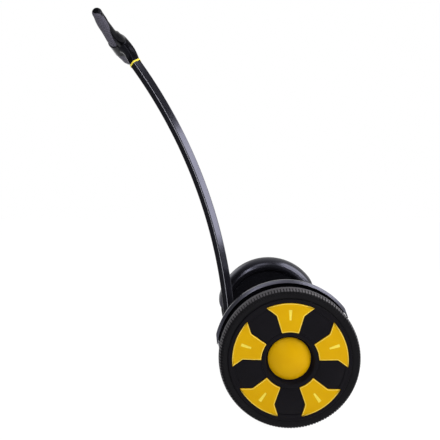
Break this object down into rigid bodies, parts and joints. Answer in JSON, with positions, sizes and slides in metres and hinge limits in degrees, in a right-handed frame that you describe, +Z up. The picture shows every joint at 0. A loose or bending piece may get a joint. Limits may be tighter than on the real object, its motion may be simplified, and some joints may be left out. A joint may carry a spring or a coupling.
{
  "type": "two-wheeled self-balancing scooter",
  "caption": "Self-balancing scooter with side-by-side wheels, a low deck and a bowed leaning handle post, parked nose-down on its stand.",
  "frame": {"origin": "centre of the bounding box's underside, on the floor that the tyres and the stand's foot rest on", "axes": "+X forward, the way the rider faces; +Y to the rider's left; +Z up"},
  "size_m": [0.7917, 0.5706, 1.2507],
  "materials": {
    "tyre": "matt black road tyre with a block tread",
    "mat_rubber": "matt black ribbed rubber",
    "gloss_black": "high gloss black moulding",
    "matt_black": "fine grained matt black moulding",
    "black_paint": "gloss black paint",
    "yellow": "satin warm yellow moulding",
    "grey_rubber": "matt dark grey soft rubber",
    "alloy": "plain cast alloy",
    "steel": "turned and ground steel",
    "bronze": "sintered bronze",
    "motor_core": "stacked steel sheets with copper windings",
    "battery_wrap": "blue shrink film",
    "circuit_board": "green board under a finned heat sink"
  },
  "bodies": {
    "base": {"chassis_tray": "alloy", "deck_plate": "matt_black", "left_foot_mat": "mat_rubber", "right_foot_mat": "mat_rubber", "battery_pack": "battery_wrap", "control_board": "circuit_board", "charge_socket": "matt_black", "post_mount": "alloy", "rear_bush": "bronze", "front_bush": "bronze", "centring_spring": "steel", "front_cover": "gloss_black", "stand_pin": "steel", "left_axle": "steel", "left_axle_nut": "steel", "left_stator": "motor_core", "left_fender": "gloss_black", "right_axle": "steel", "right_axle_nut": "steel", "right_stator": "motor_core", "right_fender": "gloss_black"},
    "left_wheel": {"left_tyre": "tyre", "left_wheel_hub": "alloy", "left_motor_cover": "alloy", "left_outer_bearing": "steel", "left_inner_bearing": "steel", "left_wheel_cover": "matt_black", "left_cover_insert_1": "yellow", "left_cover_insert_2": "yellow", "left_cover_insert_3": "yellow", "left_cover_insert_4": "yellow", "left_cover_insert_5": "yellow", "left_centre_cap": "yellow"},
    "right_wheel": {"right_tyre": "tyre", "right_wheel_hub": "alloy", "right_motor_cover": "alloy", "right_outer_bearing": "steel", "right_inner_bearing": "steel", "right_wheel_cover": "matt_black", "right_cover_insert_1": "yellow", "right_cover_insert_2": "yellow", "right_cover_insert_3": "yellow", "right_cover_insert_4": "yellow", "right_cover_insert_5": "yellow", "right_centre_cap": "yellow"},
    "steering_post": {"lean_socket": "alloy", "lean_shaft": "steel", "post": "black_paint", "collar_ring": "yellow", "neck_housing": "gloss_black", "handlebar_tube": "alloy", "centre_sleeve": "grey_rubber", "left_grip": "grey_rubber", "right_grip": "grey_rubber", "left_end_cap": "matt_black", "right_end_cap": "matt_black"},
    "button": {"power_button": "yellow"},
    "stand": {"stand_leg": "steel", "stand_foot": "mat_rubber"},
    "socket_flap": {"charge_cap": "grey_rubber"}
  },
  "joints": [
    {"name": "left_wheel_spin", "type": "hinge", "parent": "base", "child": "left_wheel", "pos_m": [-0.19268, 0.257, 0.20231], "axis": [0, 1, 0], "continuous": true},
    {"name": "right_wheel_spin", "type": "hinge", "parent": "base", "child": "right_wheel", "pos_m": [-0.19268, -0.257, 0.20231], "axis": [0, 1, 0], "continuous": true},
    {"name": "post_lean", "type": "hinge", "parent": "base", "child": "steering_post", "pos_m": [-0.03563, 0, 0.13314], "axis": [0.9781, 0, -0.2079], "range_deg": [-15, 15], "stiffness_Nm_per_rad": 60},
    {"name": "power_button_press", "type": "slide", "parent": "steering_post", "child": "button", "axis": [-0.5, 0, -0.866], "range_m": [0, 0.0012], "stiffness_N_per_m": 400, "springref_m": -0.0005},
    {"name": "stand_fold", "type": "hinge", "parent": "base", "child": "stand", "pos_m": [-0.10032, 0, 0.09813], "axis": [0, 1, 0], "range_deg": [0, 100]},
    {"name": "charge_cap_lift", "type": "hinge", "parent": "base", "child": "socket_flap", "pos_m": [-0.34453, -0.105, 0.22283], "axis": [0, 1, 0], "range_deg": [0, 100], "stiffness_Nm_per_rad": 0.01, "springref_deg": -11.46}
  ]
}
